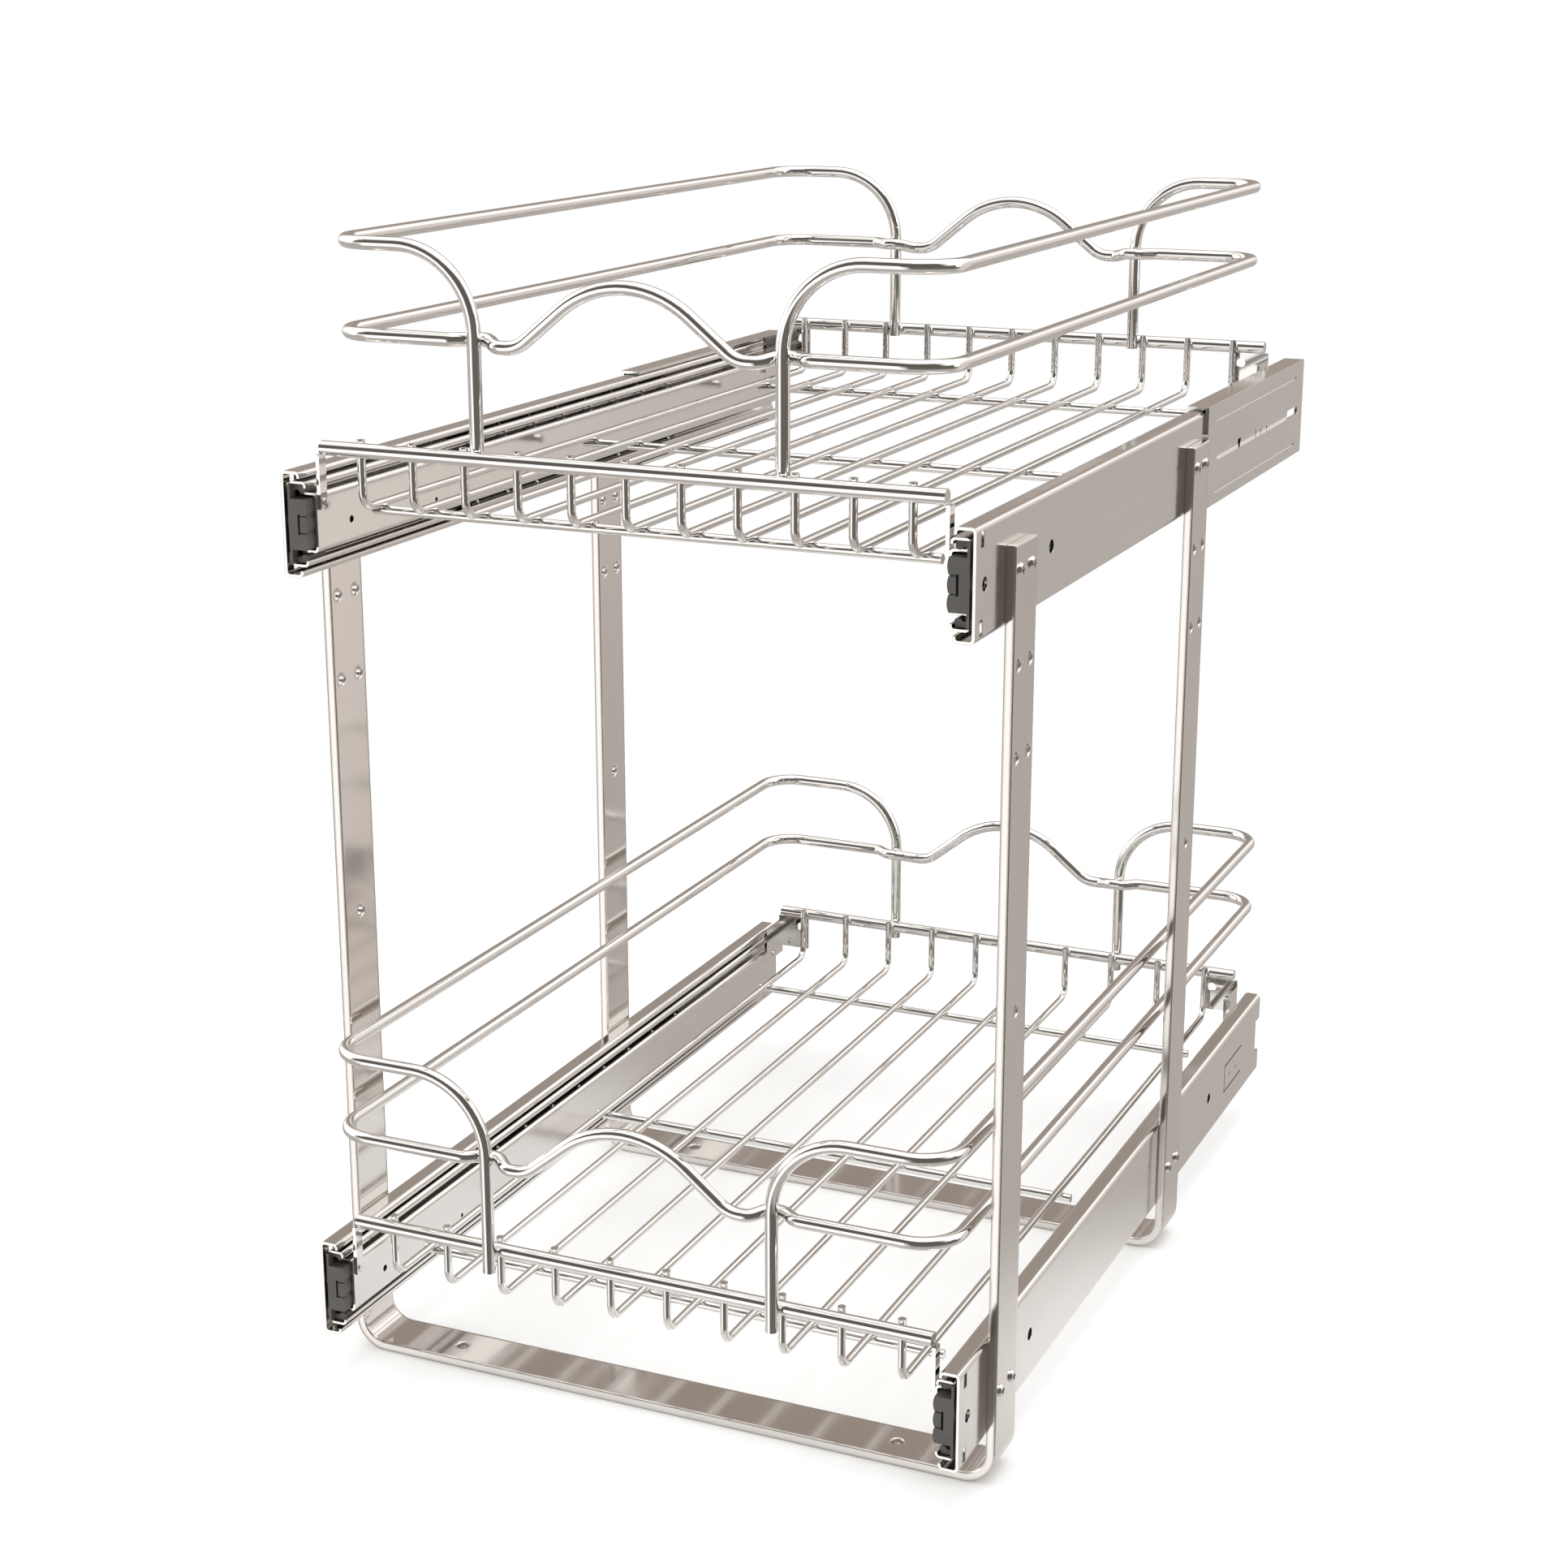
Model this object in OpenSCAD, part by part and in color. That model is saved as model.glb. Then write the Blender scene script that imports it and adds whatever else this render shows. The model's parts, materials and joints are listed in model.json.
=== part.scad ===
// Two-level pull-out wire basket unit for a narrow cabinet, in millimetres.
// X to the right, Y into the cabinet, Z up. The origin is on the underside of
// the two U-frames, in the middle of their four floor holes.

/* [Frame] */
// Overall width over the outer faces of the upright posts
unit_w = 301; // [240:0.5:420]
// Width of the flat strip of both U-frames
strip_w = 23.6; // [16:0.2:36]
// Thickness of that strip
strip_t = 3.9; // [2:0.1:6]
// Outer radius of the two bottom bends of a U-frame
strip_bend_r = 14; // [8:0.5:24]
// Height of the top of the posts below the top of the upper slides
post_drop = 11.9; // [4:0.1:16]
// Front U-frame, from the front end of the slides to the middle of the strip
front_frame_y = 43.7; // [30:0.1:110]
// Rear U-frame, from the rear end of the slides to the middle of the strip
rear_frame_in = 177; // [170:0.1:240]
// Distance of a floor hole from the outer face of a post
floor_hole_in = 46.9; // [30:0.1:90]
// Bore of a floor hole
floor_hole_d = 5.2; // [3:0.1:8]
// Half of the distance between the two holes of a pair in a post
pair_half = 6.55; // [4:0.05:8]
// Bore of the free holes in the posts
post_hole_d = 5; // [3:0.1:5.5]
// First free pair of holes, below the top of the upper slides
pair_a_drop = 58.1; // [50:0.1:75]
// Second free pair of holes, below the top of the upper slides
pair_b_drop = 94.05; // [80:0.05:120]
// Single free hole, below the top of the upper slides
single_drop = 197.6; // [140:0.1:240]

/* [Levels] */
// Height of the top of the lower slides above the floor
lower_top = 65.3; // [50:0.1:90]
// Distance from the top of the lower slides to the top of the upper slides
level_gap = 334.1; // [250:0.1:420]
// Length by which the pull-out is shorter than the slides
travel_short = 7.4; // [4:0.1:100]

/* [Slides] */
// Length of the outer channels
slide_len = 457.4; // [400:0.1:560]
// Height of the outer channels
slide_h = 43; // [40:0.1:50]
// Thickness of a complete slide
slide_t = 12.7; // [12.7:0.1:14]
// Sheet of the outer channels
outer_sheet = 1.3; // [1:0.05:1.4]
// Depth of the outer channels
outer_depth = 8.8; // [8.6:0.1:9.6]
// Sheet of the middle channels
middle_sheet = 1.1; // [0.9:0.05:1.2]
// Height by which a middle channel is lower than its outer channel
middle_less = 8.4; // [8:0.1:9]
// Depth of the middle channels
middle_depth = 8; // [7.8:0.1:8.2]
// Sheet of the inner channels
inner_sheet = 1.2; // [1:0.05:1.3]
// Height by which an inner channel is lower than its middle channel
inner_less = 10.1; // [9.6:0.1:10.6]
// Length by which a middle channel is shorter than its outer channel
middle_short = 5.9; // [5:0.1:12]
// Length by which an inner channel is shorter than its outer channel
inner_short = 11.4; // [8:0.1:16]
// Front end of an inner channel, behind the front end of the slides
inner_front = 5.8; // [2:0.1:6]
// Holes in the web of an outer channel, between its front end and the frames
web_hole_d = 5.4; // [3:0.1:6]
// Front web hole, from the front end of the slides
web_hole_front = 9.3; // [8:0.1:14]
// Middle web hole, from the front end of the slides
web_hole_mid = 84; // [70:0.1:120]
// Rear web hole, from the rear end of the slides
web_hole_in = 98.2; // [80:0.1:120]
// Relief slots at the front end: width along the slide
relief_w = 3; // [1:0.1:3.4]
// Relief slots: height
relief_h = 6.2; // [4:0.1:8]
// Hole in the web of an inner channel, from the front end of the slides
pin_hole_y = 30.5; // [24:0.1:60]
// Hole for the latch pin, from the front end of the slides
latch_hole_y = 97; // [70:0.1:140]
// Outer balls
outer_ball_d = 2.4; // [1.8:0.05:2.45]
// Inner balls
inner_ball_d = 3.1; // [2.4:0.05:3.2]
// Number of balls in one row
balls_per_row = 8; // [4:1:12]
// Sheet of the ball retainers
cage_sheet = 0.8; // [0.6:0.05:0.85]
// Retainers: front end, in from the slides' front end at full travel
cage_front_in = 20; // [16:1:30]
// Retainers: rear end, in from the moving channels' rear end at rest
cage_rear_in = 4; // [3:0.5:12]
// Free gap between parts that slide on one another
slide_gap = 0.25; // [0.2:0.01:0.35]

/* [Rear brackets] */
// Sheet of the rear brackets
bracket_t = 1.4; // [1:0.1:2]
// Gap between a rear bracket and the rear post
bracket_gap = 6.1; // [3:0.1:20]
// Length of a rear bracket
bracket_len = 176.6; // [120:0.1:200]
// Width of the two folded edges of a rear bracket
bracket_lip = 8.6; // [6:0.1:10]
// Height of the long slot in a rear bracket
bracket_slot_h = 4.2; // [2:0.1:6]
// Distance of the long slot from both ends of a rear bracket
bracket_slot_in = 16; // [10:0.5:24]
// The long slot runs further to the rear by
bracket_slot_more = 6; // [0:0.5:8]
// Rear bracket: fold grooves, in from both ends
groove_in = 14; // [8:0.5:24]
// Rear bracket: fold grooves, width
groove_w = 1; // [0.6:0.1:1.6]
// Rear bracket: fold grooves, depth
groove_deep = 0.4; // [0.2:0.05:0.5]
// Rear bracket: upper fold groove, below the top of the slide
groove_top_in = 5.4; // [4:0.1:10]
// Rear bracket: lower fold groove, above the bottom of the slide
groove_low_in = 3.4; // [2:0.1:10]

/* [Wire] */
// Thick front and rear rods
rod_d = 6; // [5:0.1:8]
// Rim, upright and waist wires
cage_wire_d = 5.5; // [4:0.1:6]
// Floor wires
floor_wire_d = 3.4; // [2.4:0.1:4]
// Cross rods under the floor wires
cross_d = 4; // [3:0.1:5]
// Depth of a weld where two wires cross
weld = 0.15; // [0.1:0.01:0.3]

/* [Baskets] */
// Gap between the end of a rod and the inner face of a slide
rod_end_gap = 1.9; // [0.4:0.1:6]
// Front rod, from the front end of the slides
rod_front_y = 8.7; // [8:0.1:14]
// Rear rod, in front of the rear end of the slides
rod_rear_in = 0.6; // [0:0.1:30]
// Height of the rods above the top of the slides
rod_up = 8.6; // [7.5:0.1:12]
// Uprights: place as a share of the half width
upright_share = 0.4306; // [0.36:0.001:0.48]
// Bend radius where an upright turns into the rim
rim_arc_r = 33; // [20:0.5:40]
// Bend radius of the rim and waist corners
corner_r = 17; // [8:0.5:18]
// Upper basket: side rails, from the inner face of a slide
upper_rail_in = 5.4; // [3.5:0.1:14]
// Upper basket: rim above the top of the slides
upper_rim_z = 88.8; // [78:0.1:110]
// Upper basket: waist above the top of the slides
upper_waist_z = 53.4; // [45:0.1:60]
// Upper basket: number of floor wires
upper_floor_count = 11; // [5:2:11]
// Lower basket: side rails, from the inner face of a post
lower_rail_in = 7.6; // [3.5:0.1:26]
// Lower basket: rim above the top of the slides
lower_rim_z = 85.8; // [78:0.1:110]
// Lower basket: waist above the top of the slides
lower_waist_z = 50.7; // [45:0.1:60]
// Lower basket: number of floor wires
lower_floor_count = 10; // [4:2:10]
// Outermost floor wire, from the inner face of a slide
floor_wire_in = 16.9; // [14:0.1:30]
// Floor wires below the top of the slides
floor_drop = 15.3; // [10:0.1:20]
// Bend radius of the floor wires
floor_bend_r = 6.5; // [5:0.5:12]
// Height of the floor wire tips above the rods
tip_up = 0.5; // [0.3:0.1:4]
// Length by which the lower uprights pass below the front rod
upright_below = 5; // [0:0.1:8]
// End of a cross rod, from the inner face of a slide
cross_in = 11.4; // [6:0.1:14]
// Upper basket: front cross rod, from the front end of the slides
upper_cross_y = 30; // [28:0.5:60]
// Lower basket: front cross rod, from the front end of the slides
lower_cross_y = 47; // [28:0.5:60]
// Middle cross rods: place as a share of the length of the slides
mid_cross_share = 0.4613; // [0.35:0.001:0.6]
// Rear cross rods, from the rear end of the slides
rear_cross_in = 52.4; // [30:0.1:120]

/* [Waist arch] */
// Foot of the arch: place as a share of the half width
arch_share = 0.3056; // [0.26:0.001:0.32]
// Rise of the arch above the waist wire
arch_rise = 23; // [14:0.5:28]
// Slope of the arch flanks
arch_slope = 39; // [34:0.5:46]
// Dip of the waist wire at the foot of the arch
arch_dip = 2; // [0:0.1:4]
// Bend radius at the foot of the arch
foot_r = 14; // [6:0.5:15]
// Bend radius of the joggle behind an upright
jog_r = 6; // [3:0.5:7]

/* [Tabs] */
// Thickness of the tabs under the rods
tab_t = 1.6; // [1.2:0.1:3]
// Width of a front tab along the slide
front_tab_w = 4.8; // [4.4:0.1:14]
// Depth of the tabs below the top of the slides
tab_drop = 16; // [15:0.1:20]
// Width of a rear tab along its rod
rear_tab_w = 17.9; // [12:0.1:20]
// Length of a rear tab along the slide
rear_tab_len = 22; // [18:0.5:30]
// Hole in a rear tab
rear_tab_hole = 4.7; // [2:0.1:5]
// Hole in a rear tab: in from the tab's free end
rear_tab_hole_in = 4.3; // [4:0.1:5]
// Hole in a rear tab: above the top of the slides
rear_tab_hole_up = 0.7; // [0:0.1:1.5]
// A rear tab's side leg rises above the top of the slides by
rear_tab_leg_up = 3; // [2:0.1:4]
// A rear tab's cross leg starts above the foot of its side leg by
rear_tab_step = 4; // [2:0.5:6]
// Shank of a rivet
rivet_d = 2.4; // [2:0.1:3.6]
// Head of a rivet
rivet_head_d = 4; // [3.6:0.1:6]
// Height of a rivet head
rivet_head_h = 0.6; // [0.4:0.1:1.5]

/* [Screws] */
// Shank of a post screw
screw_d = 3.9; // [3:0.1:4.2]
// Head of a post screw
screw_head_d = 5.7; // [5.3:0.1:7]
// Height of a post screw head
screw_head_h = 1.1; // [0.9:0.1:3]
// Bite of a screw or rivet in its sheet
bite = 0.1; // [0.05:0.01:0.2]

/* [Hidden] */
$fn = 48;
chrome = "#c6c9cd";
zinc = "#b9bcbf";
black = "#3b3b3b";
rear_frame_y = slide_len - rear_frame_in;
mid_y = (front_frame_y + rear_frame_y) / 2;  // the floor holes set the origin
y0 = -mid_y;                                 // front end of the slides
upper_top = lower_top + level_gap;
post_top = upper_top - post_drop;
xo = unit_w / 2 - strip_t;                   // outer face of the slides
xi = xo - slide_t;                           // inner face of the slides
floor_hole_x = unit_w / 2 - floor_hole_in;
bracket_y = rear_frame_y + strip_w / 2 + bracket_gap;
rod_half = xi - rod_end_gap;
rod_rear_y = slide_len - rod_rear_in;
upright_x = unit_w / 2 * upright_share;
upper_rail_x = xi - upper_rail_in;
lower_rail_x = xo - lower_rail_in;
floor_half = xi - floor_wire_in;
cross_half = xi - cross_in;
mid_cross_y = slide_len * mid_cross_share;
rear_cross_y = slide_len - rear_cross_in;
arch_foot = unit_w / 2 * arch_share;
rear_tab_x = xi - rear_tab_w;
travel = slide_len - travel_short;
middle_h = slide_h - middle_less;
inner_h = middle_h - inner_less;
middle_t = outer_sheet + 2 * slide_gap + cage_sheet;      // web of a middle channel
inner_cage_t = middle_t + middle_sheet + slide_gap;       // web of an inner retainer
inner_lip_t = inner_cage_t + cage_sheet + slide_gap;
ball_row_out = (slide_h / 2 - outer_sheet + middle_h / 2) / 2;
ball_row_in = (middle_h / 2 - middle_sheet + inner_h / 2) / 2;
ball_t_out = (outer_sheet + outer_depth - outer_sheet) / 2;
ball_t_in = (inner_lip_t + 0.9 + middle_t + middle_depth - middle_sheet) / 2;
cage_front = travel / 4 + cage_front_in;     // outer and inner retainers
cage_rear = slide_len - middle_short - travel / 4 - cage_rear_in;
cage_len = cage_rear - cage_front;
bumper_y = 0.4;                              // buffers: front face,
bumper_web = 3.6;                            // web plate,
bumper_len = 13;                             // plug
fork_y = 3.2;                                // fork fingers: front end
fork_len = 12.5;                             // and length
bulge_r = 8.7;                               // three bulges of the plug
tongue_in = 69;                              // lanced tongue, from the rear end,
tongue_len = 33;                             // its length
tongue_h = 15;                               // and height over the cut
tongue_cut = 1;                              // width of that cut
pin_in = 46.9;                               // locating holes, from the rear end
pin_pitch = 11.6;
ball_pitch = (cage_len - 12) / (balls_per_row - 1);
floor_y = rod_d / 2 + floor_wire_d / 2 - weld;   // floor wires beside a rod
cage_y = rod_d / 2 + cage_wire_d / 2 - weld;     // uprights beside a rod
run_y = rod_rear_y - rod_front_y;
jog = cage_wire_d - weld;
jog_long = 7;

// ---------- wire forming ----------
function unit(v) = v / norm(v);
function turn(p, i) =
  180 - acos(max(-1, min(1, unit(p[i - 1] - p[i]) * unit(p[i + 1] - p[i]))));
function trim(p, r, i) = (i == 0 || i == len(p) - 1) ? 0 : r[i] * tan(turn(p, i) / 2);

module bar(a, b, d) {
  v = b - a;
  translate(a) rotate([0, acos(v.z / norm(v)), atan2(v.y, v.x)])
    cylinder(h = norm(v), d = d);
}

module bend(p0, p1, p2, r, d) {
  u = unit(p0 - p1);
  w = unit(p2 - p1);
  a = 180 - acos(max(-1, min(1, u * w)));
  t = r * tan(a / 2);
  centre = p1 + unit(u + w) * (r / cos(a / 2));
  ex = unit(p1 + u * t - centre);
  ez = unit(cross(ex, p1 + w * t - centre));
  ey = cross(ez, ex);
  s = ex.z > 0 ? 1 : -1;
  turned = abs(ex.z) < 0.9999
    ? [atan2(ey.z, ez.z), -asin(ex.z), atan2(ex.y, ex.x)]
    : [atan2(-s * ey.x, ey.y), -90 * s, 0];
  translate(centre) rotate(turned)
    rotate_extrude(angle = a) translate([r, 0]) circle(d = d);
}

// one wire through the points p, bent with the radii r
module wire(p, r, d) {
  for (i = [0 : len(p) - 2]) {
    u = unit(p[i + 1] - p[i]);
    bar(p[i] + u * trim(p, r, i), p[i + 1] - u * trim(p, r, i + 1), d);
  }
  for (i = [1 : len(p) - 2]) bend(p[i - 1], p[i], p[i + 1], r[i], d);
}

// the same, with its two ends joined; a sleeve a hair thicker than the wire
// closes each joint between a straight length and a bend
module ring_wire(p, r, d) {
  n = len(p);
  q = concat([p[n - 1]], p, [p[0], p[1]]);
  k = concat([r[n - 1]], r, [r[0], r[1]]);
  for (i = [1 : n]) {
    u = unit(q[i + 1] - q[i]);
    from = q[i] + u * trim(q, k, i);
    to = q[i + 1] - u * trim(q, k, i + 1);
    bar(from + u * 0.05, to - u * 0.05, d);
    bend(q[i - 1], q[i], q[i + 1], k[i], d);
    for (c = [from, to]) bar(c - u * 0.25, c + u * 0.25, d + 0.02);
  }
}

// ---------- sheet profiles ----------
module rounded(w, h, r) {
  translate([0, -h / 2 + r]) square([w, h - 2 * r]);
  translate([r, -h / 2]) square([w - 2 * r, h]);
  for (x = [r, w - r], z = [-h / 2 + r, h / 2 - r]) translate([x, z]) circle(r);
}

// a channel whose two lips curl back to keep the balls in their track
module lipped(w, h, s, r, lip) difference() {
  rounded(w, h, r);
  translate([s, 0]) rounded(w - 2 * s, h - 2 * s, r - s);
  translate([w - 1.5 * s, -h / 2 + lip]) square([2 * s, h - 2 * lip]);
}

punch_len = 40;                              // length of a hole's cutter

// extrude a profile, drawn with x inward from the slide's outer face, along Y
module along(from, to) translate([xo, y0 + to, 0]) rotate([90, 0, 0])
  linear_extrude(to - from) mirror([1, 0]) children();

module at_slide(side, top) translate([0, 0, top - slide_h / 2])
  mirror([side < 0 ? 1 : 0, 0, 0]) children();

module cross_hole(y, z, d, x1 = punch_len) translate([xo + punch_len / 2 - x1, y0 + y, z])
  rotate([0, 90, 0]) cylinder(h = x1, d = d);

// ---------- frame ----------
module u_profile() difference() {
  union() {
    translate([-unit_w / 2, strip_bend_r]) square([unit_w, post_top - strip_bend_r]);
    translate([-unit_w / 2 + strip_bend_r, 0])
      square([unit_w - 2 * strip_bend_r, strip_bend_r + 1]);
    for (s = [-1, 1]) translate([s * (unit_w / 2 - strip_bend_r), strip_bend_r])
      circle(strip_bend_r);
  }
  translate([-xo, strip_bend_r]) square([2 * xo, post_top]);
  translate([-xo + strip_bend_r - strip_t, strip_t])
    square([2 * (xo - strip_bend_r + strip_t), strip_bend_r]);
  for (s = [-1, 1]) translate([s * (unit_w / 2 - strip_bend_r), strip_bend_r])
    circle(strip_bend_r - strip_t);
}

module post_bore(y, z, d) translate([-unit_w, y, z]) rotate([0, 90, 0])
  cylinder(h = 2 * unit_w, d = d);

upper_screw_z = upper_top - slide_h / 2 - 0.4;
lower_screw_z = lower_top - slide_h / 2 - 2.5;

module u_frame(y) difference() {
  translate([0, y + strip_w / 2, 0]) rotate([90, 0, 0])
    linear_extrude(strip_w) u_profile();
  for (s = [-1, 1]) {
    translate([s * floor_hole_x, y, -1]) cylinder(h = strip_t + 2, d = floor_hole_d);
    for (z = [upper_screw_z, lower_screw_z])
      post_bore(y + s * pair_half, z, screw_d + 0.3);
    for (z = [pair_a_drop, pair_b_drop])
      post_bore(y + s * pair_half, upper_top - z, post_hole_d);
  }
  post_bore(y, upper_top - single_drop, post_hole_d);
}

module front_u_frame() color(chrome) u_frame(y0 + front_frame_y);
module rear_u_frame() color(chrome) u_frame(y0 + rear_frame_y);

module post_screw() difference() {
  union() {
    cylinder(h = strip_t + outer_sheet, d = screw_d);
    translate([0, 0, -screw_head_h]) {
      cylinder(h = screw_head_h, d1 = screw_head_d * 0.8, d2 = screw_head_d);
    }
  }
  for (a = [0, 90]) rotate(a)
    translate([-screw_head_d * 0.28, -0.5, -screw_head_h - 1])
      cube([screw_head_d * 0.56, 1, 1 + screw_head_h * 0.8]);
}

module post_screws(z) for (s = [-1, 1], y = [front_frame_y, rear_frame_y], k = [-1, 1])
  translate([s * unit_w / 2, y0 + y + k * pair_half, z]) rotate([0, -s * 90, 0])
    post_screw();

module upper_post_screws() color(zinc) post_screws(upper_screw_z);
module lower_post_screws() color(zinc) post_screws(lower_screw_z);

// ---------- rear brackets over the upper slides ----------
module rear_bracket(side) at_slide(side, upper_top) difference() {
  hb = slide_h + 0.6 + 2 * bracket_t;
  yb = bracket_y;
  along(yb, yb + bracket_len) difference() {
    translate([-bracket_t, -hb / 2]) square([bracket_t + bracket_lip, hb]);
    translate([0, -slide_h / 2 - 0.3]) square([bracket_lip + 1, slide_h + 0.6]);
  }
  slot0 = yb + bracket_slot_in + bracket_slot_h / 2;
  slot1 = yb + bracket_len - bracket_slot_in + bracket_slot_more - bracket_slot_h / 2;
  translate([xo - 1, y0 + slot0, -1 - bracket_slot_h / 2])
    cube([bracket_t + 2, slot1 - slot0, bracket_slot_h]);
  for (y = [slot0, slot1]) translate([xo - 1, y0 + y, -1]) rotate([0, 90, 0])
    cylinder(h = bracket_t + 2, d = bracket_slot_h);
  for (z = [slide_h / 2 - groove_top_in - groove_w, -slide_h / 2 + groove_low_in])
    translate([xo + bracket_t - groove_deep, y0 + yb + groove_in, z])
      cube([groove_deep + 1, bracket_len - 2 * groove_in, groove_w]);
}

module left_rear_bracket() color(chrome) rear_bracket(-1);
module right_rear_bracket() color(chrome) rear_bracket(1);

// ---------- slides ----------
module outer_channel(side, top, screw_z) at_slide(side, top) difference() {
  along(0, slide_len)
    lipped(outer_depth, slide_h, outer_sheet, 2.2, 2.9);
  for (y = [front_frame_y, rear_frame_y], k = [-1, 1])
    cross_hole(y + k * pair_half, screw_z - top + slide_h / 2, screw_d - 2 * bite);
  for (y = [web_hole_front, web_hole_mid, slide_len - web_hole_in])
    cross_hole(y, -0.6, web_hole_d);
  for (y = [pin_in, pin_in + pin_pitch]) cross_hole(slide_len - y, -2, 1.8);
  // relief slots above and below, near the front end
  for (s = [-1, 1])
    translate([xo - outer_sheet - 1, y0 + 4.6, s * (slide_h / 2 - 5.2) - relief_h / 2])
      cube([outer_sheet + 2, relief_w, relief_h]);
  // lanced latch tongue near the rear end
  translate([xo - outer_sheet - 1, y0 + slide_len - tongue_in, -9]) difference() {
    cube([outer_sheet + 2, tongue_len, tongue_h]);
    translate([-1, tongue_cut, tongue_cut])
      cube([outer_sheet + 4, tongue_len, tongue_h - 2 * tongue_cut]);
  }
  // notch in the rear edge of the web
  translate([xo - outer_sheet - 1, y0 + slide_len - 7, -9.5])
    cube([outer_sheet + 2, 10, 18]);
}

module upper_left_outer_channel() color(chrome) outer_channel(-1, upper_top, upper_screw_z);
module upper_right_outer_channel() color(chrome) outer_channel(1, upper_top, upper_screw_z);
module lower_left_outer_channel() color(chrome) outer_channel(-1, lower_top, lower_screw_z);
module lower_right_outer_channel() color(chrome) outer_channel(1, lower_top, lower_screw_z);

module middle_channel(side, top) at_slide(side, top) difference() {
  along(1.5, slide_len - middle_short + 1.5) translate([middle_t, 0])
    lipped(middle_depth, middle_h, middle_sheet, 2, 2.7);
  // the bumper takes the place of the web at the front end
  translate([xo - middle_t - middle_sheet - 0.9, y0, -middle_h / 2 + middle_sheet])
    cube([middle_sheet + 2, bumper_y + bumper_web, middle_h - 2 * middle_sheet]);
}

module upper_left_middle_channel() color(chrome) middle_channel(-1, upper_top);
module upper_right_middle_channel() color(chrome) middle_channel(1, upper_top);
module lower_left_middle_channel() color(chrome) middle_channel(-1, lower_top);
module lower_right_middle_channel() color(chrome) middle_channel(1, lower_top);

module inner_profile() {
  w = slide_t - inner_lip_t;
  translate([inner_lip_t, 0]) difference() {
    union() {
      square_h = inner_h - 4.4;
      translate([0, -inner_h / 2]) square([w - 2.2, inner_h]);
      translate([w - 2.3, -square_h / 2]) square([2.3, square_h]);
      for (s = [-1, 1]) translate([w - 2.2, s * (inner_h / 2 - 2.2)]) circle(2.2);
      for (s = [-1, 1]) translate([0, s * (inner_h / 2 - 0.1) - 0.5])
        square([0.9, 1]);
    }
    translate([-1, -inner_h / 2 + inner_sheet])
      square([w - 1.2, inner_h - 2 * inner_sheet]);
    translate([w - 3, -inner_h / 2 + 2.2]) square([3 - inner_sheet, inner_h - 4.4]);
    for (s = [-1, 1]) translate([w - 2.2, s * (inner_h / 2 - 2.2)])
      circle(2.2 - inner_sheet);
  }
}

module inner_channel(side, top) at_slide(side, top) difference() {
  along(inner_front, inner_front + slide_len - inner_short) inner_profile();
  cross_hole(rivet_front_y, rivet_z, rivet_d - 2 * bite);
  cross_hole(rivet_rear_y, rivet_z, rivet_d - 2 * bite);
  cross_hole(pin_hole_y, -2.4, 3);
  cross_hole(latch_hole_y, -5.6, 2);
}

module upper_left_inner_channel() color(chrome) inner_channel(-1, upper_top);
module upper_right_inner_channel() color(chrome) inner_channel(1, upper_top);
module lower_left_inner_channel() color(chrome) inner_channel(-1, lower_top);
module lower_right_inner_channel() color(chrome) inner_channel(1, lower_top);

// stop buffer on the front end of a middle channel
module bumper(side, top) at_slide(side, top) {
  t0 = middle_t + middle_sheet;
  plug_t = slide_t - inner_sheet - slide_gap;
  plug_h = inner_h - 2 * inner_sheet - 1.6;
  fork_top = middle_h / 2 - middle_sheet - slide_gap;
  fork_t = middle_t + middle_depth - middle_sheet - slide_gap;
  // web plate
  along(bumper_y, bumper_y + bumper_web) translate([middle_t, -fork_top])
    square([middle_sheet, 2 * fork_top]);
  // plug with three bulges that the inner channel runs over
  difference() {
    along(bumper_y, bumper_y + bumper_len) intersection() {
      translate([t0, -plug_h / 2]) square([plug_t - t0, plug_h]);
      union() {
        translate([t0, -plug_h / 2]) square([plug_t - t0 - 2, plug_h]);
        for (k = [-1, 0, 1]) translate([plug_t - bulge_r, k * plug_h / 3])
          circle(bulge_r);
      }
    }
    // slit and grooves in the front face
    translate([xo - plug_t + 3.4, y0, -plug_h / 5]) cube([1, 5, plug_h / 2.5]);
    for (k = [-1, 1])
      translate([xo - plug_t - 1, y0, k * plug_h / 6 - 0.3]) cube([5, 1.2, 0.6]);
  }
  // fork fingers with a round nose in the two inner ball tracks
  nose = inner_lip_t + 0.9 + slide_gap;
  nose_h = fork_top - inner_h / 2 - slide_gap;
  for (s = [-1, 1])
    along(fork_y, fork_y + fork_len) mirror([0, s < 0 ? 1 : 0]) {
      translate([t0, inner_h / 2 + 1.4])
        square([nose + 1.4 - t0, fork_top - inner_h / 2 - 1.4]);
      translate([nose, fork_top - nose_h / 2]) rounded(fork_t - nose, nose_h, 1.4);
    }
}

module upper_left_bumper() color(black) bumper(-1, upper_top);
module upper_right_bumper() color(black) bumper(1, upper_top);
module lower_left_bumper() color(black) bumper(-1, lower_top);
module lower_right_bumper() color(black) bumper(1, lower_top);

// a retainer is a thin channel with a pocket for each ball
module retainer(t, w, row, ball_t, ball_d) difference() {
  along(cage_front, cage_rear) translate([t, 0]) difference() {
    translate([0, -row - cage_sheet / 2]) square([w, 2 * row + cage_sheet]);
    translate([cage_sheet, -row + cage_sheet / 2])
      square([w, 2 * row - cage_sheet]);
  }
  for (i = [0 : balls_per_row - 1])
    translate([xo - ball_t, y0 + cage_front + 6 + i * ball_pitch, -row - 5])
      cylinder(h = 2 * row + 10, d = ball_d + 0.3);
}

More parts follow.
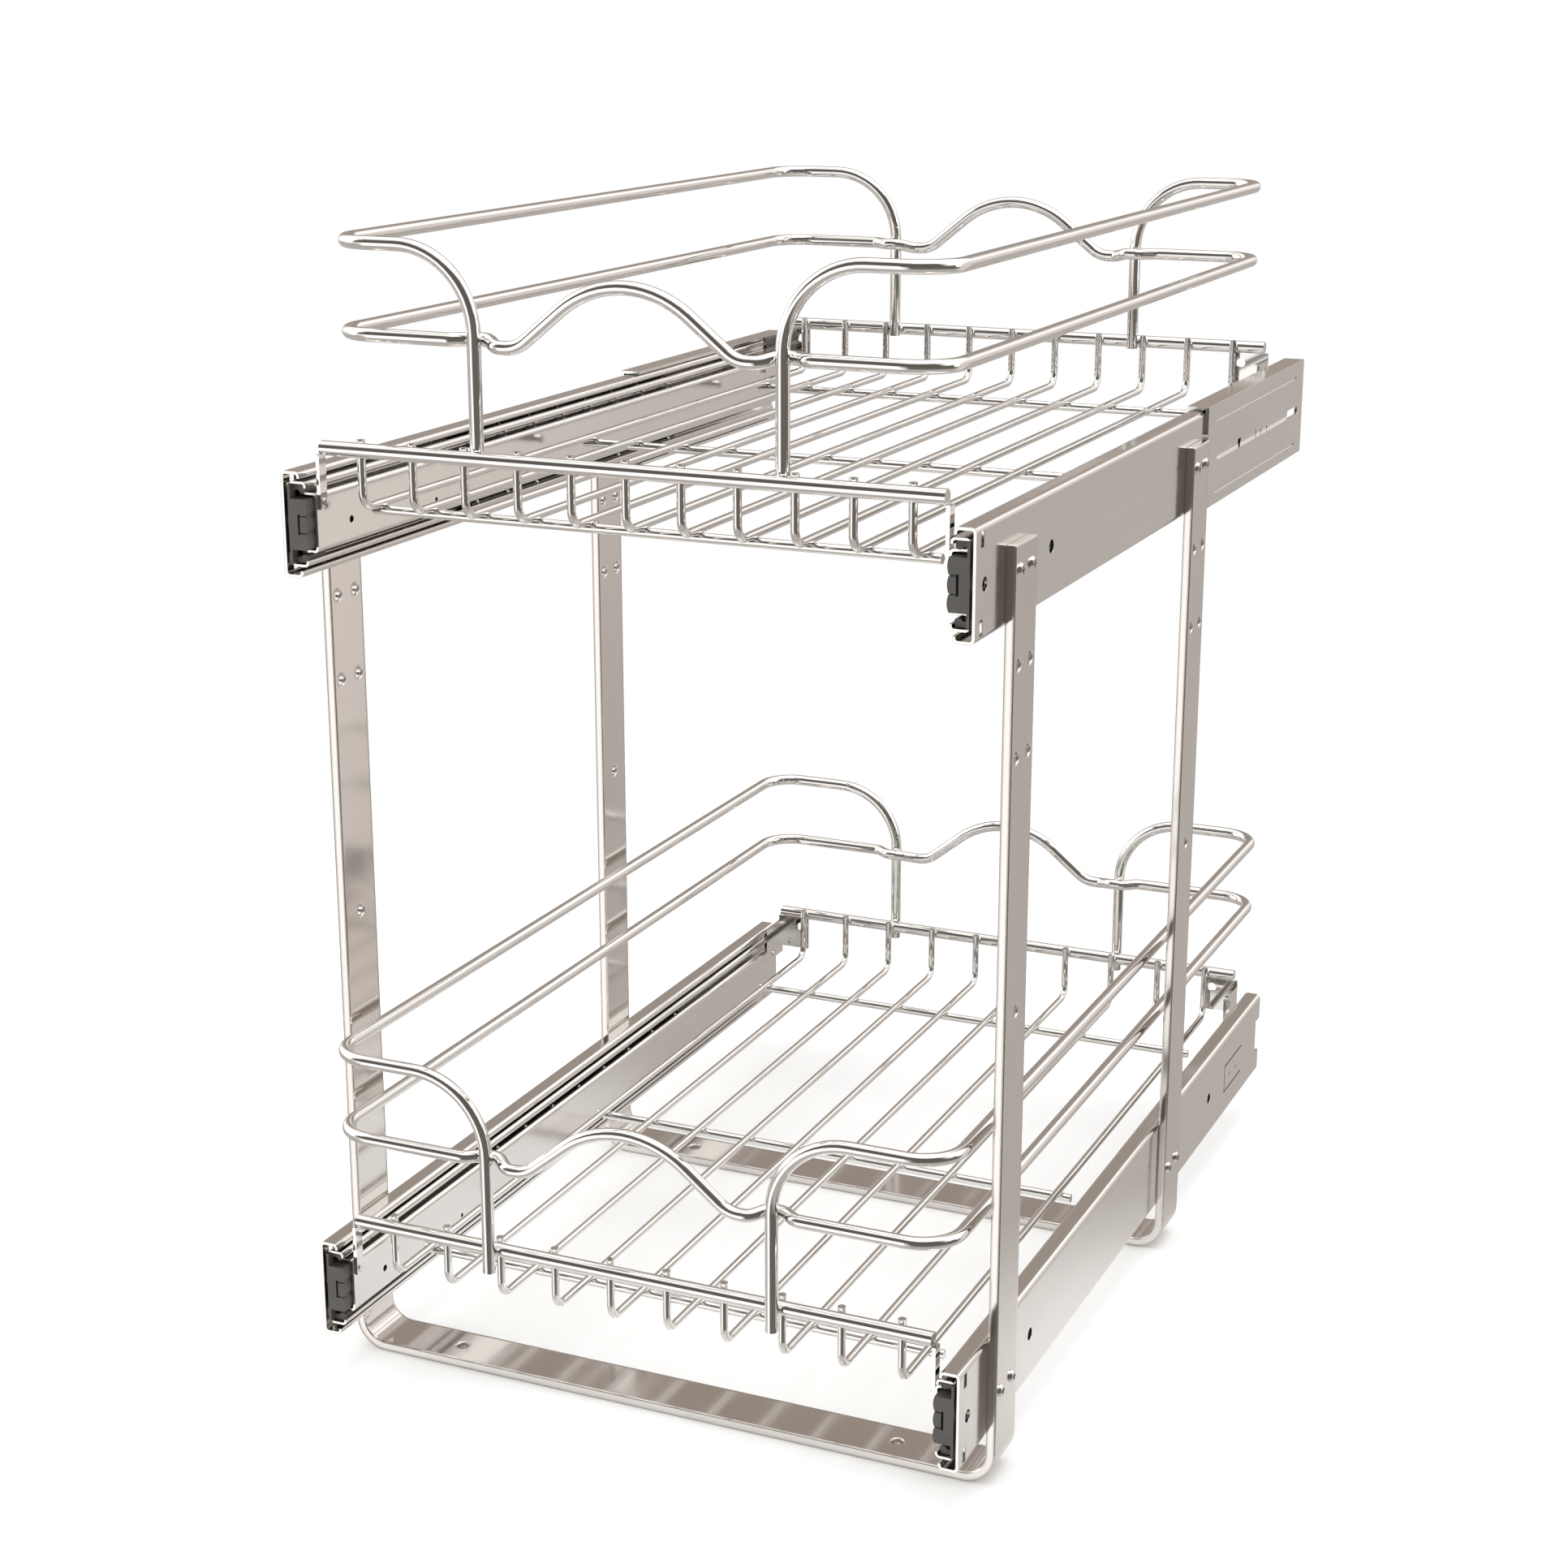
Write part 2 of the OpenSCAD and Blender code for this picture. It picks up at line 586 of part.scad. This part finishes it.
module balls(row, ball_t, ball_d, top) for (side = [-1, 1]) at_slide(side, top)
  for (i = [0 : balls_per_row - 1], s = [-1, 1])
    translate([xo - ball_t, y0 + cage_front + 6 + i * ball_pitch, s * row])
      sphere(d = ball_d);

module outer_retainer(side, top) at_slide(side, top)
  retainer(outer_sheet + slide_gap, outer_depth - 2 * outer_sheet - 2 * slide_gap,
           ball_row_out, ball_t_out, outer_ball_d);

module inner_retainer(side, top) at_slide(side, top)
  retainer(inner_cage_t,
           middle_t + middle_depth - middle_sheet - slide_gap - inner_cage_t,
           ball_row_in, ball_t_in, inner_ball_d);

module upper_left_outer_retainer() color(black) outer_retainer(-1, upper_top);
module upper_right_outer_retainer() color(black) outer_retainer(1, upper_top);
module lower_left_outer_retainer() color(black) outer_retainer(-1, lower_top);
module lower_right_outer_retainer() color(black) outer_retainer(1, lower_top);
module upper_left_inner_retainer() color(black) inner_retainer(-1, upper_top);
module upper_right_inner_retainer() color(black) inner_retainer(1, upper_top);
module lower_left_inner_retainer() color(black) inner_retainer(-1, lower_top);
module lower_right_inner_retainer() color(black) inner_retainer(1, lower_top);
module upper_outer_balls() color(zinc) balls(ball_row_out, ball_t_out, outer_ball_d, upper_top);
module upper_inner_balls() color(zinc) balls(ball_row_in, ball_t_in, inner_ball_d, upper_top);
module lower_outer_balls() color(zinc) balls(ball_row_out, ball_t_out, outer_ball_d, lower_top);
module lower_inner_balls() color(zinc) balls(ball_row_in, ball_t_in, inner_ball_d, lower_top);

// ---------- baskets ----------
// Heights here are above the top of the slides, Y from their front end.
module at_level(top) translate([0, y0, top]) children();

module rod(y) bar([-rod_half, y, rod_up], [rod_half, y, rod_up], rod_d);

// half of the rim: upright, rim and upright in one wire
module rim_wire(s, rail, yf, yr, z, foot) wire(
  [[s * upright_x, yf, foot], [s * upright_x, yf, z], [s * rail, yf, z],
   [s * rail, yr, z], [s * upright_x, yr, z], [s * upright_x, yr, foot]],
  [0, rim_arc_r, corner_r, corner_r, rim_arc_r, 0], cage_wire_d);

// one end of the waist wire, from +rail to -rail: joggle, arch, joggle
function end_run(rail, y, z, k) =
  let (a = upright_x + 1.5 * jog_long, b = upright_x + 0.5 * jog_long,
       c = upright_x - 0.5 * jog_long, d = upright_x - 1.4 * jog_long,
       peak = z - arch_dip + arch_foot * tan(arch_slope))
  [[rail, y, z], [a, y, z], [b, y + k * jog, z], [c, y + k * jog, z],
   [d, y, z - arch_dip], [arch_foot, y, z - arch_dip], [0, y, peak],
   [-arch_foot, y, z - arch_dip], [-d, y, z - arch_dip],
   [-c, y + k * jog, z], [-b, y + k * jog, z], [-a, y, z], [-rail, y, z]];
arch_r = (arch_foot * tan(arch_slope) - arch_dip - arch_rise) / (1 / cos(arch_slope) - 1);
end_r = [corner_r, jog_r, jog_r, jog_r, jog_r, foot_r, arch_r,
         foot_r, jog_r, jog_r, jog_r, jog_r, corner_r];

module waist_wire(rail, yf, yr, z) {
  rear = end_run(rail, yr, z, -1);
  front = end_run(rail, yf, z, 1);
  back = [for (i = [len(front) - 1 : -1 : 0]) front[i]];
  ring_wire(concat(rear, back), concat(end_r, end_r), cage_wire_d);
}

module floor_wires(count) {
  yf = rod_front_y + floor_y;
  yr = rod_rear_y - floor_y;
  tip = rod_up + rod_d / 2 + tip_up;
  for (i = [0 : count - 1]) {
    x = -floor_half + i * 2 * floor_half / (count - 1);
    wire([[x, yf, tip], [x, yf, -floor_drop], [x, yr, -floor_drop], [x, yr, tip]],
         [0, floor_bend_r, floor_bend_r, 0], floor_wire_d);
  }
}

module cross_rods(front_y) {
  z = -floor_drop - floor_wire_d / 2 - cross_d / 2 + weld;
  for (y = [front_y, mid_cross_y, rear_cross_y])
    bar([-cross_half, y, z], [cross_half, y, z], cross_d);
}

rivet_z = slide_h / 2 - tab_drop + 2.6;      // above the middle of the slide
rivet_front_y = rod_front_y;
rivet_rear_y = inner_front + slide_len - inner_short - 7.3;
tab_top = rod_up - rod_d / 2 + 2 * weld;

module front_tabs() for (s = [-1, 1]) mirror([s < 0 ? 1 : 0, 0, 0])
  difference() {
    translate([xi - tab_t, rod_front_y - front_tab_w / 2, -tab_drop])
      cube([tab_t, front_tab_w, tab_top + tab_drop]);
    translate([xi - tab_t - 1, rivet_front_y, rivet_z - slide_h / 2])
      rotate([0, 90, 0]) cylinder(h = tab_t + 2, d = rivet_d - 2 * bite);
  }

module rear_tabs() for (s = [-1, 1]) mirror([s < 0 ? 1 : 0, 0, 0])
  difference() {
    union() {
      translate([xi - tab_t, rod_rear_y + tab_t / 2 - rear_tab_len, -tab_drop])
        cube([tab_t, rear_tab_len, tab_drop + rear_tab_leg_up]);
      translate([rear_tab_x, rod_rear_y - tab_t / 2, rear_tab_step - tab_drop])
        cube([xi - rear_tab_x, tab_t, tab_top + tab_drop - rear_tab_step]);
    }
    translate([xi - tab_t - 1, rivet_rear_y, rivet_z - slide_h / 2])
      rotate([0, 90, 0]) cylinder(h = tab_t + 2, d = rivet_d - 2 * bite);
    translate([rear_tab_x + rear_tab_hole_in, rod_rear_y - 5, rear_tab_hole_up]) rotate([-90, 0, 0])
      cylinder(h = 10, d = rear_tab_hole);
  }

module tab_rivets() for (s = [-1, 1], y = [rivet_front_y, rivet_rear_y])
  translate([s * (xi - tab_t), y, rivet_z - slide_h / 2]) rotate([0, s * 90, 0]) {
    cylinder(h = tab_t + inner_sheet, d = rivet_d);
    translate([0, 0, -rivet_head_h])
      cylinder(h = rivet_head_h, d1 = rivet_head_d * 0.7, d2 = rivet_head_d);
  }

up_yf = rod_front_y + cage_y;
up_yr = rod_rear_y - cage_y;
low_yf = rod_front_y - cage_y;
low_yr = rod_rear_y + cage_y;
up_foot = rod_up - rod_d / 2;
low_foot = rod_up - rod_d / 2 - upright_below;

module upper_rim_wires() color(chrome) at_level(upper_top) for (s = [-1, 1])
  rim_wire(s, upper_rail_x, up_yf, up_yr, upper_rim_z, up_foot);
module upper_waist_wire() color(chrome) at_level(upper_top)
  waist_wire(upper_rail_x, up_yf, up_yr, upper_waist_z);
module upper_front_rod() color(chrome) at_level(upper_top) rod(rod_front_y);
module upper_rear_rod() color(chrome) at_level(upper_top) rod(rod_rear_y);
module upper_floor_wires() color(chrome) at_level(upper_top) floor_wires(upper_floor_count);
module upper_cross_rods() color(chrome) at_level(upper_top) cross_rods(upper_cross_y);
module upper_front_tabs() color(chrome) at_level(upper_top) front_tabs();
module upper_rear_tabs() color(chrome) at_level(upper_top) rear_tabs();
module upper_tab_rivets() color(zinc) at_level(upper_top) tab_rivets();

module lower_rim_wires() color(chrome) at_level(lower_top) for (s = [-1, 1])
  rim_wire(s, lower_rail_x, low_yf, low_yr, lower_rim_z, low_foot);
module lower_waist_wire() color(chrome) at_level(lower_top)
  waist_wire(lower_rail_x, low_yf, low_yr, lower_waist_z);
module lower_front_rod() color(chrome) at_level(lower_top) rod(rod_front_y);
module lower_rear_rod() color(chrome) at_level(lower_top) rod(rod_rear_y);
module lower_floor_wires() color(chrome) at_level(lower_top) floor_wires(lower_floor_count);
module lower_cross_rods() color(chrome) at_level(lower_top) cross_rods(lower_cross_y);
module lower_front_tabs() color(chrome) at_level(lower_top) front_tabs();
module lower_rear_tabs() color(chrome) at_level(lower_top) rear_tabs();
module lower_tab_rivets() color(zinc) at_level(lower_top) tab_rivets();

front_u_frame();
rear_u_frame();
left_rear_bracket();
right_rear_bracket();
upper_post_screws();
lower_post_screws();
upper_left_outer_channel();
upper_right_outer_channel();
lower_left_outer_channel();
lower_right_outer_channel();
upper_left_middle_channel();
upper_right_middle_channel();
lower_left_middle_channel();
lower_right_middle_channel();
upper_left_inner_channel();
upper_right_inner_channel();
lower_left_inner_channel();
lower_right_inner_channel();
upper_left_bumper();
upper_right_bumper();
lower_left_bumper();
lower_right_bumper();
upper_left_outer_retainer();
upper_right_outer_retainer();
lower_left_outer_retainer();
lower_right_outer_retainer();
upper_left_inner_retainer();
upper_right_inner_retainer();
lower_left_inner_retainer();
lower_right_inner_retainer();
upper_outer_balls();
upper_inner_balls();
lower_outer_balls();
lower_inner_balls();
upper_rim_wires();
upper_waist_wire();
upper_front_rod();
upper_rear_rod();
upper_floor_wires();
upper_cross_rods();
upper_front_tabs();
upper_rear_tabs();
upper_tab_rivets();
lower_rim_wires();
lower_waist_wire();
lower_front_rod();
lower_rear_rod();
lower_floor_wires();
lower_cross_rods();
lower_front_tabs();
lower_rear_tabs();
lower_tab_rivets();
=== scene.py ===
import json
import math

import bpy
from mathutils import Matrix, Vector


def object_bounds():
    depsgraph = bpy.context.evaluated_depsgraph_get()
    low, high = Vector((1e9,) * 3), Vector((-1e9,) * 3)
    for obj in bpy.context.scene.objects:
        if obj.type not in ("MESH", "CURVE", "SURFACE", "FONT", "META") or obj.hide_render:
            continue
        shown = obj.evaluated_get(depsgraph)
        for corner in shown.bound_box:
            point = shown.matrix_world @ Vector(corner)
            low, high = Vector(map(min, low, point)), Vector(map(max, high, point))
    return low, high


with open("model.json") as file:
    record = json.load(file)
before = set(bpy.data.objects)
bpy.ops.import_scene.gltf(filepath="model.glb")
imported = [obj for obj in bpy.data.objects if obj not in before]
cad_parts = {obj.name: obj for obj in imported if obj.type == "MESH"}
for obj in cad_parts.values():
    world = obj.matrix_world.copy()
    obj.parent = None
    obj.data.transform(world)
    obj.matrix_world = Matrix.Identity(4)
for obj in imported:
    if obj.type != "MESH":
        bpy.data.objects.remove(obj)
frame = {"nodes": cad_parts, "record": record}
cad_low, cad_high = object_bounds()
nodes = frame["nodes"]
scene = bpy.context.scene


# ---------- small helpers ----------
def linear(hexa, alpha=1.0):
    """sRGB hex to the linear colour that the shaders take."""
    out = []
    for i in (1, 3, 5):
        c = int(hexa[i:i + 2], 16) / 255
        out.append(c / 12.92 if c <= 0.04045 else ((c + 0.055) / 1.055) ** 2.4)
    return (*out, alpha)


def add(tree, kind, settings=None, links=None):
    """Adds a node, with its settings (attributes or sockets) and its links (socket: output)."""
    node = tree.nodes.new(kind)
    for key, value in (settings or {}).items():
        if isinstance(key, str) and hasattr(node, key):
            setattr(node, key, value)
        else:
            node.inputs[key].default_value = value
    for key, value in (links or {}).items():
        tree.links.new(value, node.inputs[key])
    return node


def new_material(name):
    mat = bpy.data.materials.new(name)
    mat.use_nodes = True
    mat.node_tree.nodes.clear()
    return mat, mat.node_tree


def per_mm(mm):
    """Noise scale for a grain of this many millimetres."""
    return 1000.0 / mm


def object_space(tree, stretch=(1, 1, 1)):
    where = add(tree, "ShaderNodeTexCoord")
    return add(tree, "ShaderNodeMapping", {"Scale": stretch},
               {"Vector": where.outputs["Object"]}).outputs["Vector"]


def span(tree, value, low, high):
    """Maps a noise of 0.3 to 0.7 to low to high."""
    return add(tree, "ShaderNodeMapRange",
               {"From Min": 0.3, "From Max": 0.7, "To Min": low, "To Max": high},
               {"Value": value}).outputs["Result"]


# ---------- finishes ----------
BUMP_DEPTH = 0.0001  # height of the surface grain, in metres


def plated_steel(name, light, shade, rough, grain=(1, 1, 1), grain_mm=60.0, tooth=0.0,
                 tooth_mm=1.2, corner_mm=0.0):
    """Steel with a metal skin. The colour drifts very slightly with the thickness of the
    plating, and the roughness drifts with it; tooth gives the fine rolling lines of sheet,
    and corner_mm the round of its tumbled edges."""
    mat, tree = new_material(name)
    place = object_space(tree, grain)
    drift = add(tree, "ShaderNodeTexNoise", {"Scale": per_mm(grain_mm), "Detail": 3.0},
                {"Vector": place})
    tint = add(tree, "ShaderNodeMix", {"data_type": "RGBA", 6: linear(shade), 7: linear(light)},
               {0: drift.outputs["Fac"]})
    skin = add(tree, "ShaderNodeBsdfPrincipled", {"Metallic": 1.0},
               {"Base Color": tint.outputs[2],
                "Roughness": span(tree, drift.outputs["Fac"], rough * 0.8, rough * 1.2)})
    if tooth and corner_mm:
        corner = add(tree, "ShaderNodeBevel", {"samples": 8, "Radius": corner_mm / 1000})
        fine = add(tree, "ShaderNodeTexNoise", {"Scale": per_mm(tooth_mm), "Detail": 2.0},
                   {"Vector": place})
        lines = add(tree, "ShaderNodeBump", {"Strength": tooth, "Distance": BUMP_DEPTH},
                    {"Height": fine.outputs["Fac"], "Normal": corner.outputs["Normal"]})
        tree.links.new(lines.outputs["Normal"], skin.inputs["Normal"])
    add(tree, "ShaderNodeOutputMaterial", None, {"Surface": skin.outputs[0]})
    return mat


def moulded_plastic(name, light, shade, rough, grain_mm=0.8):
    """Injection-moulded acetal with a fine spark-eroded grain: a soft broad sheen."""
    mat, tree = new_material(name)
    place = object_space(tree)
    cloud = add(tree, "ShaderNodeTexNoise", {"Scale": per_mm(14), "Detail": 2.0},
                {"Vector": place})
    tint = add(tree, "ShaderNodeMix", {"data_type": "RGBA", 6: linear(shade), 7: linear(light)},
               {0: cloud.outputs["Fac"]})
    grit = add(tree, "ShaderNodeTexNoise", {"Scale": per_mm(grain_mm), "Detail": 2.0},
               {"Vector": place})
    bump = add(tree, "ShaderNodeBump", {"Strength": 0.25, "Distance": BUMP_DEPTH},
               {"Height": grit.outputs["Fac"]})
    skin = add(tree, "ShaderNodeBsdfPrincipled", {"IOR": 1.48},
               {"Base Color": tint.outputs[2], "Normal": bump.outputs["Normal"],
                "Roughness": span(tree, grit.outputs["Fac"], rough - 0.06, rough + 0.06)})
    add(tree, "ShaderNodeOutputMaterial", None, {"Surface": skin.outputs[0]})
    return mat


# drawn wire, chromed after welding: a clear mirror, slightly warm
wire_chrome = plated_steel("chrome_plated_wire", "#e2e0de", "#d8d5d2", 0.06, grain_mm=80)
# rolled flat strip, bent and chromed: a little softer, with rounded edges that draw a line
strip_chrome = plated_steel("chrome_plated_strip", "#dedad6", "#d2cdc8", 0.10,
                            grain=(1, 1, 0.15), grain_mm=40, tooth=0.03, corner_mm=1.8)
# cold-rolled sheet, zinc plated: faint lines along the slide spread what it mirrors
zinc_sheet = plated_steel("bright_zinc_sheet", "#e2e0dd", "#d8d4d0", 0.13,
                          grain=(1, 0.04, 1), grain_mm=12, tooth=0.05, corner_mm=0.25)
# headed and rolled screws, zinc plated in a barrel: a dull sparkle
zinc_screw = plated_steel("bright_zinc_fastener", "#dddbd8", "#cfccc8", 0.16, grain_mm=6)
# hardened and lapped balls: a hard, colourless mirror
ball_steel = plated_steel("polished_ball_steel", "#dcdcdc", "#d0d0d0", 0.06, grain_mm=6)
# blued strip with an oil film: dark, with a broad sheen
oiled_steel = plated_steel("dark_oiled_strip", "#6a6865", "#4d4b49", 0.32, grain_mm=10)
# moulded acetal: charcoal, never quite black where light grazes it
black_acetal = moulded_plastic("black_acetal", "#575451", "#423f3d", 0.42)

FINISH = {
    "wire_chrome": wire_chrome,
    "strip_chrome": strip_chrome,
    "slide_steel": zinc_sheet,
    "fastener_steel": zinc_screw,
    "ball_steel": ball_steel,
    "retainer_steel": oiled_steel,
    "black_plastic": black_acetal,
}


# edges broken as real bevels, by material slot, in metres
EDGE = {"black_plastic": 0.0003}


def break_edges(obj, width):
    """A small round on the sharp edges, which catches the light as real edges do."""
    bevel = obj.modifiers.new("broken_edges", "BEVEL")
    bevel.width = width
    bevel.segments = 2
    bevel.limit_method = "ANGLE"
    bevel.angle_limit = math.radians(40)
    bevel.harden_normals = False


def dress_cad():
    """Every carried-over node takes the finish of its own material slot."""
    slots = {s["node"]: s["material_slot"] for s in frame["record"]["subparts"]}
    for name, obj in nodes.items():
        obj.data.materials.clear()
        obj.data.materials.append(FINISH[slots[name]])
        if slots[name] in EDGE:
            break_edges(obj, EDGE[slots[name]])


# ---------- studio ----------
def smooth_step(tree, value, start, end):
    return add(tree, "ShaderNodeMapRange",
               {"interpolation_type": "SMOOTHSTEP", "From Min": start, "From Max": end},
               {"Value": value}).outputs["Result"]


def product(tree, one, other):
    return add(tree, "ShaderNodeMath", {"operation": "MULTIPLY"},
               {0: one, 1: other}).outputs["Value"]


# where the paper fades, in metres from its middle: to the eye, and in the plating
PAPER_SEEN = (0.30, 0.85)
PAPER_MIRRORED = (0.12, 0.26)
PAPER_HALF = 9.0
PAPER_GAP = 0.0002  # below the object, so that no two faces lie in one plane


def floor_paint():
    """White paper. It keeps the object's shadow near it and fades to plain white for the eye;
    what the plating mirrors of it ends close to the object, and the room shows beyond."""
    mat, tree = new_material("white_paper")
    where = add(tree, "ShaderNodeTexCoord")
    far = add(tree, "ShaderNodeVectorMath", {"operation": "LENGTH"},
              {0: where.outputs["Object"]}).outputs["Value"]
    paper = add(tree, "ShaderNodeBsdfDiffuse", {"Color": linear("#fcfcfb")})
    white = add(tree, "ShaderNodeEmission", {"Color": (1, 1, 1, 1), "Strength": 1.0})
    clear = add(tree, "ShaderNodeBsdfTransparent")
    ray = add(tree, "ShaderNodeLightPath")
    to_eye = product(tree, smooth_step(tree, far, *PAPER_SEEN), ray.outputs["Is Camera Ray"])
    mirrored = product(tree, smooth_step(tree, far, *PAPER_MIRRORED),
                       ray.outputs["Is Glossy Ray"])
    mixed = add(tree, "ShaderNodeMixShader", None,
                {0: to_eye, 1: paper.outputs[0], 2: white.outputs[0]})
    both = add(tree, "ShaderNodeMixShader", None,
               {0: mirrored, 1: mixed.outputs[0], 2: clear.outputs[0]})
    add(tree, "ShaderNodeOutputMaterial", None, {"Surface": both.outputs[0]})
    return mat


def make_floor():
    half = PAPER_HALF
    mesh = bpy.data.meshes.new("floor")
    mesh.from_pydata([(-half, -half, 0), (half, -half, 0), (half, half, 0), (-half, half, 0)],
                     [], [(0, 1, 2, 3)])
    obj = bpy.data.objects.new("floor", mesh)
    scene.collection.objects.link(obj)
    obj.location = (0, 0, cad_low.z - PAPER_GAP)
    mesh.materials.append(floor_paint())


def towards(tree, where, aim):
    """How closely a ray of the room follows a direction; 1 is straight along it."""
    return add(tree, "ShaderNodeVectorMath",
               {"operation": "DOT_PRODUCT", 1: Vector(aim).normalized()},
               {0: where}).outputs["Value"]


def shade_towards(tree, below, where, aim, start, end, colour):
    """Lays a colour over the room around one direction, full at end and none at start."""
    part = smooth_step(tree, towards(tree, where, aim), start, end)
    return add(tree, "ShaderNodeMix", {"data_type": "RGBA", 7: linear(colour)},
               {0: part, 6: below}).outputs[2]


def shade_band(tree, below, where, height, aim, across, foot, top, colour):
    """Lays a colour over the room around one heading, between two heights."""
    part = product(tree, smooth_step(tree, towards(tree, where, aim), *across),
                   product(tree, smooth_step(tree, height, *foot),
                           smooth_step(tree, height, *top)))
    return add(tree, "ShaderNodeMix", {"data_type": "RGBA", 7: linear(colour)},
               {0: part, 6: below}).outputs[2]


# what the plating mirrors: bright enough that its cut edges and highlights reach white
BRIGHT_ROOM = (1.5, 1.49, 1.47, 1)
LOWER_ROOM = "#cbc5c0"
ROOM_EDGE = (-0.12, 0.04)  # height over which the lower room turns bright

# lit opening at the front: mirrored by the edges and ends that face forwards
FRONT_OPENING = ((-0.39, -0.88, -0.28), (0.90, 0.96))

# walls: direction, start and full of the fade, colour
WALLS = [
    ((0.56, 0.80, -0.20), 0.80, 0.93, "#f3ebe5"),    # pale, in the inner faces of the left
    ((0.20, 0.92, -0.34), 0.925, 0.972, "#c6c0bb"),  # grey, in the outer faces of the right
    ((-0.39, 0.88, 0.28), 0.80, 0.96, "#aca198"),    # warm grey, in the floor strips
]

# dark parts: heading, fade across, fade at the foot, fade at the top, colour
DARK_PARTS = [
    ((0.81, -0.59, 0.0), (0.32, 0.60), (-0.60, -0.45), (0.30, 0.12), "#75706b"),  # uprights
    ((0.15, -0.99, 0.0), (0.12, 0.50), (0.02, 0.16), (0.90, 0.70), "#6b6662"),    # rods
]


def make_world():
    """A white studio. Mirrored, it is bright above and grey below, with a lit opening at the
    front, a few grey walls and a dark side behind the viewer, which draws the dark lines
    along the wires; for every other ray it is plain white."""
    world = bpy.data.worlds.new("studio")
    scene.world = world
    world.use_nodes = True
    tree = world.node_tree
    tree.nodes.clear()
    where = add(tree, "ShaderNodeTexCoord").outputs["Generated"]
    height = add(tree, "ShaderNodeSeparateXYZ", None, {0: where}).outputs["Z"]
    aim, fade = FRONT_OPENING
    bright = add(tree, "ShaderNodeMath", {"operation": "MAXIMUM"},
                 {0: smooth_step(tree, height, *ROOM_EDGE),
                  1: smooth_step(tree, towards(tree, where, aim), *fade)}).outputs["Value"]
    room = add(tree, "ShaderNodeMix",
               {"data_type": "RGBA", 6: linear(LOWER_ROOM), 7: BRIGHT_ROOM},
               {0: bright}).outputs[2]
    for wall in WALLS:
        room = shade_towards(tree, room, where, *wall)
    for part in DARK_PARTS:
        room = shade_band(tree, room, where, height, *part)
    ray = add(tree, "ShaderNodeLightPath")
    mirror = add(tree, "ShaderNodeBackground", {"Strength": 1.0}, {"Color": room})
    plain = add(tree, "ShaderNodeBackground", {"Color": (1, 1, 1, 1), "Strength": 1.0})
    mixed = add(tree, "ShaderNodeMixShader", None,
                {0: ray.outputs["Is Glossy Ray"], 1: plain.outputs[0], 2: mirror.outputs[0]})
    add(tree, "ShaderNodeOutputWorld", None, {"Surface": mixed.outputs[0]})


# soft boxes: name, place, size in metres, power in watts; all aim at the object's middle
AIM = (0, 0, 0.25)
SOFT_BOXES = [
    ("top_box", (0.2, 0.1, 1.9), (1.6, 1.2), 14),
    ("left_box", (-1.7, -0.6, 0.9), (0.7, 1.4), 9),
    ("right_box", (1.9, 0.5, 0.8), (0.5, 1.2), 7),
]


def soft_box(name, place, size, power):
    light = bpy.data.lights.new(name, "AREA")
    light.shape = "RECTANGLE"
    light.size, light.size_y = size
    light.energy = power
    obj = bpy.data.objects.new(name, light)
    scene.collection.objects.link(obj)
    obj.location = place
    obj.rotation_euler = (Vector(AIM) - Vector(place)).to_track_quat("-Z", "Y").to_euler()


# the photograph's camera: place, degrees down, degrees from straight ahead, lens
EYE = (0.4762, -1.07275, 0.5883)
EYE_DOWN = 16.35
EYE_TURN = 23.95
EYE_LENS = 63.5


def make_camera():
    """A level camera that looks down and to the left at the object."""
    pitch, yaw = math.radians(EYE_DOWN), math.radians(EYE_TURN)
    right = Vector((math.cos(yaw), math.sin(yaw), 0))
    ahead = Vector((-math.sin(yaw) * math.cos(pitch), math.cos(yaw) * math.cos(pitch),
                    -math.sin(pitch)))
    up = right.cross(ahead)
    data = bpy.data.cameras.new("camera")
    data.sensor_width = 36.0
    data.lens = EYE_LENS
    data.clip_start, data.clip_end = 0.05, 50
    obj = bpy.data.objects.new("camera", data)
    scene.collection.objects.link(obj)
    turned = Matrix((right, up, -ahead)).transposed().to_4x4()
    obj.matrix_world = Matrix.Translation(EYE) @ turned
    scene.camera = obj


dress_cad()
make_floor()
make_world()
for box in SOFT_BOXES:
    soft_box(*box)
make_camera()
scene.view_settings.view_transform = "Standard"
